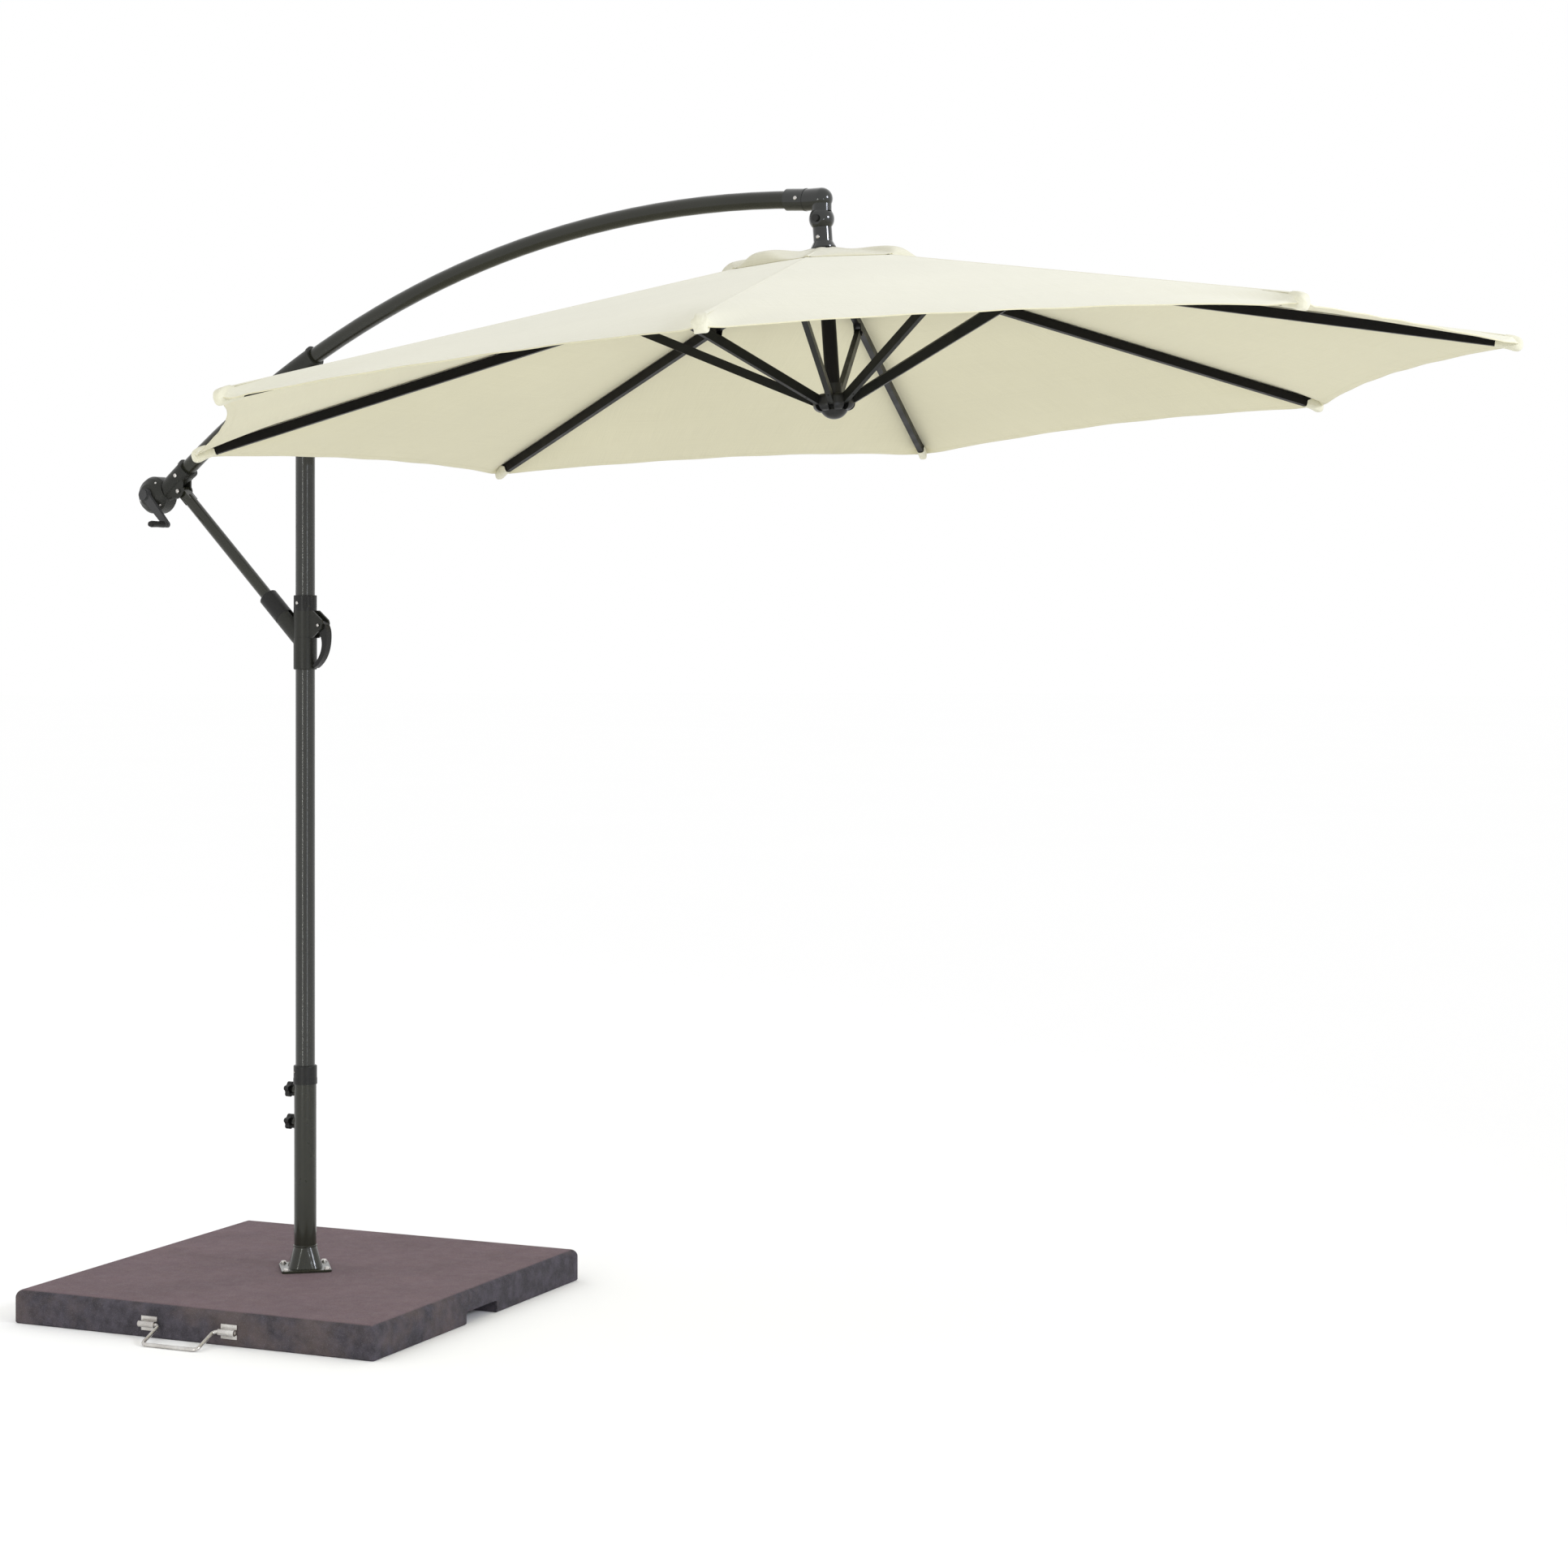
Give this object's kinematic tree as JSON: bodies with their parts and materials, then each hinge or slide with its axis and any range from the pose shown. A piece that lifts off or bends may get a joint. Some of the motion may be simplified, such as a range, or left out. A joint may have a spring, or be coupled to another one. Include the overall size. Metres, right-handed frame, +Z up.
{
  "type": "cantilever parasol",
  "caption": "Cantilever parasol: curved arm on a pole with sliding runner, hand crank, folding octagonal canopy and square stone base.",
  "frame": {"origin": "centre of the base slab's underside on the ground, on the pole's axis", "axes": "+Z up the pole, +X from the pole towards the canopy, +Y to the far side from the hand crank"},
  "size_m": [3.4848, 2.7724, 2.6557],
  "materials": {
    "stone_slab": "rough split stone",
    "frame_paint": "satin powder coat",
    "elbow_paint": "semi-gloss paint on a casting",
    "rib_paint": "satin black paint",
    "dark_plastic": "satin moulded",
    "black_plastic": "satin moulded",
    "steel": "bright",
    "canopy_cloth": "woven polyester"
  },
  "bodies": {
    "base": {"base_slab": "stone_slab", "base_tube": "frame_paint", "base_screws": "steel", "tube_collar": "black_plastic", "handle_bushes": "steel"},
    "handle": {"carry_handle": "steel"},
    "knob_lower": {"clamp_knob_lower": "black_plastic"},
    "knob_upper": {"clamp_knob_upper": "black_plastic"},
    "pole": {"upper_pole": "frame_paint", "pole_head": "black_plastic"},
    "runner": {"runner_body": "dark_plastic", "runner_collar": "black_plastic"},
    "latch": {"latch_lever": "black_plastic"},
    "arm": {"arm_tube": "frame_paint", "arm_sleeve": "dark_plastic", "arm_bolts": "steel", "crank_housing": "dark_plastic", "housing_cover": "dark_plastic", "elbow": "elbow_paint"},
    "crank": {"rope_drum": "black_plastic", "crank_arm": "dark_plastic"},
    "grip": {"crank_grip": "black_plastic"},
    "strut": {"strut_tube": "frame_paint", "strut_socket": "black_plastic"},
    "mast": {"mast_socket": "elbow_paint", "upper_hub": "black_plastic"},
    "hub": {"lower_hub": "black_plastic", "mast_tube": "rib_paint"},
    "rib_1": {"rib_1": "rib_paint"},
    "stay_1": {"rib_strut_1": "rib_paint"},
    "cloth_1_near": {"gore_1_near": "canopy_cloth"},
    "cloth_1_far": {"gore_1_far": "canopy_cloth"},
    "rib_2": {"rib_2": "rib_paint"},
    "stay_2": {"rib_strut_2": "rib_paint"},
    "cloth_2_near": {"gore_2_near": "canopy_cloth"},
    "cloth_2_far": {"gore_2_far": "canopy_cloth"},
    "rib_3": {"rib_3": "rib_paint"},
    "stay_3": {"rib_strut_3": "rib_paint"},
    "cloth_3_near": {"gore_3_near": "canopy_cloth"},
    "cloth_3_far": {"gore_3_far": "canopy_cloth"},
    "rib_4": {"rib_4": "rib_paint"},
    "stay_4": {"rib_strut_4": "rib_paint"},
    "cloth_4_near": {"gore_4_near": "canopy_cloth"},
    "cloth_4_far": {"gore_4_far": "canopy_cloth"},
    "rib_5": {"rib_5": "rib_paint"},
    "stay_5": {"rib_strut_5": "rib_paint"},
    "cloth_5_near": {"gore_5_near": "canopy_cloth"},
    "cloth_5_far": {"gore_5_far": "canopy_cloth"},
    "rib_6": {"rib_6": "rib_paint"},
    "stay_6": {"rib_strut_6": "rib_paint"},
    "cloth_6_near": {"gore_6_near": "canopy_cloth"},
    "cloth_6_far": {"gore_6_far": "canopy_cloth"},
    "rib_7": {"rib_7": "rib_paint"},
    "stay_7": {"rib_strut_7": "rib_paint"},
    "cloth_7_near": {"gore_7_near": "canopy_cloth"},
    "cloth_7_far": {"gore_7_far": "canopy_cloth"},
    "rib_8": {"rib_8": "rib_paint"},
    "stay_8": {"rib_strut_8": "rib_paint"},
    "cloth_8_near": {"gore_8_near": "canopy_cloth"},
    "cloth_8_far": {"gore_8_far": "canopy_cloth"}
  },
  "joints": [
    {"name": "handle_lift", "type": "hinge", "parent": "base", "child": "handle", "pos_m": [0.0748, -0.50651, 0.034], "axis": [-0.9893, -0.1461, 0], "range_deg": [0, 110]},
    {"name": "knob_lower_turn", "type": "hinge", "parent": "base", "child": "knob_lower", "pos_m": [-0.05, 0, 0.44], "axis": [-1, 0, 0], "range_deg": [0, 720]},
    {"name": "knob_upper_turn", "type": "hinge", "parent": "base", "child": "knob_upper", "pos_m": [-0.05, 0, 0.52], "axis": [-1, 0, 0], "range_deg": [0, 720]},
    {"name": "pole_swivel", "type": "hinge", "parent": "base", "child": "pole", "pos_m": [0, 0, 0.1503], "axis": [0, 0, 1], "continuous": true},
    {"name": "arm_pitch", "type": "hinge", "parent": "pole", "child": "arm", "pos_m": [0, 0, 2.265], "axis": [0, 1, 0], "range_deg": [0, 25]},
    {"name": "runner_slide", "type": "slide", "parent": "pole", "child": "runner", "axis": [0, 0, 1], "range_m": [0, 0.29]},
    {"name": "latch_pull", "type": "hinge", "parent": "runner", "child": "latch", "pos_m": [0.054, 0, 1.673], "axis": [0, -1, 0], "range_deg": [0, 40]},
    {"name": "strut_swing", "type": "hinge", "parent": "arm", "child": "strut", "pos_m": [-0.406, 0, 2.012], "axis": [0, 1, 0], "range_deg": [-39.02, 0]},
    {"name": "crank_turn", "type": "hinge", "parent": "arm", "child": "crank", "pos_m": [-0.494, -0.045, 2.004], "axis": [0, 1, 0], "range_deg": [0, 3600]},
    {"name": "grip_spin", "type": "hinge", "parent": "crank", "child": "grip", "pos_m": [-0.41967, -0.06, 1.92703], "axis": [0, 1, 0], "continuous": true},
    {"name": "canopy_tilt", "type": "hinge", "parent": "arm", "child": "mast", "pos_m": [1.505, 0, 2.582], "axis": [0, 1, 0], "range_deg": [-25.05, 0]},
    {"name": "hub_slide", "type": "slide", "parent": "mast", "child": "hub", "axis": [-0.0785, 0, 0.9969], "range_m": [-0.5712, 0]},
    {"name": "rib_1_fold", "type": "hinge", "parent": "mast", "child": "rib_1", "pos_m": [1.54149, 0.01225, 2.4952], "axis": [-0.3815, 0.9239, -0.03], "range_deg": [0, 72]},
    {"name": "stay_1_fold", "type": "hinge", "parent": "rib_1", "child": "stay_1", "pos_m": [1.93274, 0.17106, 2.41078], "axis": [-0.3815, 0.9239, -0.03], "range_deg": [-133.5, 0.1]},
    {"name": "cloth_1_near_fold", "type": "hinge", "parent": "rib_1", "child": "cloth_1_near", "pos_m": [1.51026, 0, 2.51521], "axis": [0.9164, 0.3737, -0.1434], "range_deg": [-0.2, 65.95], "deforming": ["gore_1_near"]},
    {"name": "cloth_1_far_fold", "type": "hinge", "parent": "cloth_1_near", "child": "cloth_1_far", "pos_m": [1.51026, 0, 2.51521], "axis": [0.7039, 0.6879, -0.177], "range_deg": [-0.2, 195.14], "deforming": ["gore_1_far"]},
    {"name": "rib_2_fold", "type": "hinge", "parent": "mast", "child": "rib_2", "pos_m": [1.52422, 0.02956, 2.49384], "axis": [-0.921, 0.3827, -0.0725], "range_deg": [-0.05, 72.05]},
    {"name": "stay_2_fold", "type": "hinge", "parent": "rib_2", "child": "stay_2", "pos_m": [1.69156, 0.41299, 2.3918], "axis": [-0.921, 0.3827, -0.0725], "range_deg": [-133.5, 0.1]},
    {"name": "cloth_2_near_fold", "type": "hinge", "parent": "rib_2", "child": "cloth_2_near", "pos_m": [1.51026, 0, 2.51521], "axis": [0.3895, 0.9023, -0.1849], "range_deg": [-0.2, 65.95], "deforming": ["gore_2_near"]},
    {"name": "cloth_2_far_fold", "type": "hinge", "parent": "cloth_2_near", "child": "cloth_2_far", "pos_m": [1.51026, 0, 2.51521], "axis": [0.0182, 0.9728, -0.2309], "range_deg": [-0.2, 195.14], "deforming": ["gore_2_far"]},
    {"name": "rib_3_fold", "type": "hinge", "parent": "mast", "child": "rib_3", "pos_m": [1.49981, 0.02956, 2.49192], "axis": [-0.921, -0.3827, -0.0725], "range_deg": [-0.05, 72.05]},
    {"name": "stay_3_fold", "type": "hinge", "parent": "rib_3", "child": "stay_3", "pos_m": [1.35049, 0.41299, 2.36496], "axis": [-0.921, -0.3827, -0.0725], "range_deg": [-133.5, 0.1]},
    {"name": "cloth_3_near_fold", "type": "hinge", "parent": "rib_3", "child": "cloth_3_near", "pos_m": [1.51026, 0, 2.51521], "axis": [-0.3557, 0.9023, -0.2435], "range_deg": [-0.2, 65.95], "deforming": ["gore_3_near"]},
    {"name": "cloth_3_far_fold", "type": "hinge", "parent": "cloth_3_near", "child": "cloth_3_far", "pos_m": [1.51026, 0, 2.51521], "axis": [-0.6676, 0.6879, -0.2849], "range_deg": [-0.2, 195.14], "deforming": ["gore_3_far"]},
    {"name": "rib_4_fold", "type": "hinge", "parent": "mast", "child": "rib_4", "pos_m": [1.48254, 0.01225, 2.49056], "axis": [-0.3815, -0.9239, -0.03], "range_deg": [-0.05, 72.05]},
    {"name": "stay_4_fold", "type": "hinge", "parent": "rib_4", "child": "stay_4", "pos_m": [1.10931, 0.17106, 2.34598], "axis": [-0.3815, -0.9239, -0.03], "range_deg": [-133.5, 0.1]},
    {"name": "cloth_4_near_fold", "type": "hinge", "parent": "rib_4", "child": "cloth_4_near", "pos_m": [1.51026, 0, 2.51521], "axis": [-0.8827, 0.3737, -0.285], "range_deg": [-0.2, 65.95], "deforming": ["gore_4_near"]},
    {"name": "cloth_4_far_fold", "type": "hinge", "parent": "cloth_4_near", "child": "cloth_4_far", "pos_m": [1.51026, 0, 2.51521], "axis": [-0.9516, 0, -0.3073], "range_deg": [-0.2, 195.14], "deforming": ["gore_4_far"]},
    {"name": "rib_5_fold", "type": "hinge", "parent": "mast", "child": "rib_5", "pos_m": [1.48254, -0.01225, 2.49056], "axis": [0.3815, -0.9239, 0.03], "range_deg": [-0.05, 72.05]},
    {"name": "stay_5_fold", "type": "hinge", "parent": "rib_5", "child": "stay_5", "pos_m": [1.10931, -0.17106, 2.34598], "axis": [0.3815, -0.9239, 0.03], "range_deg": [-133.5, 0.1]},
    {"name": "cloth_5_near_fold", "type": "hinge", "parent": "rib_5", "child": "cloth_5_near", "pos_m": [1.51026, 0, 2.51521], "axis": [-0.8827, -0.3737, -0.285], "range_deg": [-0.2, 65.95], "deforming": ["gore_5_near"]},
    {"name": "cloth_5_far_fold", "type": "hinge", "parent": "cloth_5_near", "child": "cloth_5_far", "pos_m": [1.51026, 0, 2.51521], "axis": [-0.6676, -0.6879, -0.2849], "range_deg": [-0.2, 195.14], "deforming": ["gore_5_far"]},
    {"name": "rib_6_fold", "type": "hinge", "parent": "mast", "child": "rib_6", "pos_m": [1.49981, -0.02956, 2.49192], "axis": [0.921, -0.3827, 0.0725], "range_deg": [-0.05, 72.05]},
    {"name": "stay_6_fold", "type": "hinge", "parent": "rib_6", "child": "stay_6", "pos_m": [1.35049, -0.41299, 2.36496], "axis": [0.921, -0.3827, 0.0725], "range_deg": [-133.5, 0.1]},
    {"name": "cloth_6_near_fold", "type": "hinge", "parent": "rib_6", "child": "cloth_6_near", "pos_m": [1.51026, 0, 2.51521], "axis": [-0.3557, -0.9023, -0.2435], "range_deg": [-0.2, 65.95], "deforming": ["gore_6_near"]},
    {"name": "cloth_6_far_fold", "type": "hinge", "parent": "cloth_6_near", "child": "cloth_6_far", "pos_m": [1.51026, 0, 2.51521], "axis": [0.0182, -0.9728, -0.2309], "range_deg": [-0.2, 195.14], "deforming": ["gore_6_far"]},
    {"name": "rib_7_fold", "type": "hinge", "parent": "mast", "child": "rib_7", "pos_m": [1.52422, -0.02956, 2.49384], "axis": [0.921, 0.3827, 0.0725], "range_deg": [-0.05, 72.05]},
    {"name": "stay_7_fold", "type": "hinge", "parent": "rib_7", "child": "stay_7", "pos_m": [1.69156, -0.41299, 2.3918], "axis": [0.921, 0.3827, 0.0725], "range_deg": [-133.5, 0.1]},
    {"name": "cloth_7_near_fold", "type": "hinge", "parent": "rib_7", "child": "cloth_7_near", "pos_m": [1.51026, 0, 2.51521], "axis": [0.3895, -0.9023, -0.1849], "range_deg": [-0.2, 65.95], "deforming": ["gore_7_near"]},
    {"name": "cloth_7_far_fold", "type": "hinge", "parent": "cloth_7_near", "child": "cloth_7_far", "pos_m": [1.51026, 0, 2.51521], "axis": [0.7039, -0.6879, -0.177], "range_deg": [-0.2, 195.14], "deforming": ["gore_7_far"]},
    {"name": "rib_8_fold", "type": "hinge", "parent": "mast", "child": "rib_8", "pos_m": [1.54149, -0.01225, 2.4952], "axis": [0.3815, 0.9239, 0.03], "range_deg": [-0.05, 72.05]},
    {"name": "stay_8_fold", "type": "hinge", "parent": "rib_8", "child": "stay_8", "pos_m": [1.93274, -0.17106, 2.41078], "axis": [0.3815, 0.9239, 0.03], "range_deg": [-133.5, 0.1]},
    {"name": "cloth_8_near_fold", "type": "hinge", "parent": "rib_8", "child": "cloth_8_near", "pos_m": [1.51026, 0, 2.51521], "axis": [0.9164, -0.3737, -0.1434], "range_deg": [-0.2, 65.95], "deforming": ["gore_8_near"]},
    {"name": "cloth_8_far_fold", "type": "hinge", "parent": "cloth_8_near", "child": "cloth_8_far", "pos_m": [1.51026, 0, 2.51521], "axis": [0.988, 0, -0.1546], "range_deg": [-0.2, 195.14], "deforming": ["gore_8_far"]}
  ],
  "couplings": [
    {"joint": "runner_slide", "follows": "arm_pitch", "m_per_rad": 0.66231},
    {"joint": "strut_swing", "follows": "arm_pitch", "ratio": -1.5587},
    {"joint": "canopy_tilt", "follows": "arm_pitch", "ratio": -1},
    {"joint": "stay_1_fold", "follows": "rib_1_fold", "ratio": -1.8513},
    {"joint": "cloth_1_near_fold", "follows": "rib_1_fold", "ratio": 0.91315},
    {"joint": "cloth_1_far_fold", "follows": "rib_1_fold", "ratio": 2.7075},
    {"joint": "rib_2_fold", "follows": "rib_1_fold", "ratio": 1},
    {"joint": "stay_2_fold", "follows": "rib_1_fold", "ratio": -1.8513},
    {"joint": "cloth_2_near_fold", "follows": "rib_1_fold", "ratio": 0.91315},
    {"joint": "cloth_2_far_fold", "follows": "rib_1_fold", "ratio": 2.7075},
    {"joint": "rib_3_fold", "follows": "rib_1_fold", "ratio": 1},
    {"joint": "stay_3_fold", "follows": "rib_1_fold", "ratio": -1.8513},
    {"joint": "cloth_3_near_fold", "follows": "rib_1_fold", "ratio": 0.91315},
    {"joint": "cloth_3_far_fold", "follows": "rib_1_fold", "ratio": 2.7075},
    {"joint": "rib_4_fold", "follows": "rib_1_fold", "ratio": 1},
    {"joint": "stay_4_fold", "follows": "rib_1_fold", "ratio": -1.8513},
    {"joint": "cloth_4_near_fold", "follows": "rib_1_fold", "ratio": 0.91315},
    {"joint": "cloth_4_far_fold", "follows": "rib_1_fold", "ratio": 2.7075},
    {"joint": "rib_5_fold", "follows": "rib_1_fold", "ratio": 1},
    {"joint": "stay_5_fold", "follows": "rib_1_fold", "ratio": -1.8513},
    {"joint": "cloth_5_near_fold", "follows": "rib_1_fold", "ratio": 0.91315},
    {"joint": "cloth_5_far_fold", "follows": "rib_1_fold", "ratio": 2.7075},
    {"joint": "rib_6_fold", "follows": "rib_1_fold", "ratio": 1},
    {"joint": "stay_6_fold", "follows": "rib_1_fold", "ratio": -1.8513},
    {"joint": "cloth_6_near_fold", "follows": "rib_1_fold", "ratio": 0.91315},
    {"joint": "cloth_6_far_fold", "follows": "rib_1_fold", "ratio": 2.7075},
    {"joint": "rib_7_fold", "follows": "rib_1_fold", "ratio": 1},
    {"joint": "stay_7_fold", "follows": "rib_1_fold", "ratio": -1.8513},
    {"joint": "cloth_7_near_fold", "follows": "rib_1_fold", "ratio": 0.91315},
    {"joint": "cloth_7_far_fold", "follows": "rib_1_fold", "ratio": 2.7075},
    {"joint": "rib_8_fold", "follows": "rib_1_fold", "ratio": 1},
    {"joint": "stay_8_fold", "follows": "rib_1_fold", "ratio": -1.8513},
    {"joint": "cloth_8_near_fold", "follows": "rib_1_fold", "ratio": 0.91315},
    {"joint": "cloth_8_far_fold", "follows": "rib_1_fold", "ratio": 2.7075},
    {"joint": "crank_turn", "follows": "rib_1_fold", "ratio": 50},
    {"joint": "hub_slide", "follows": "rib_1_fold", "m_per_rad": -0.45371}
  ]
}
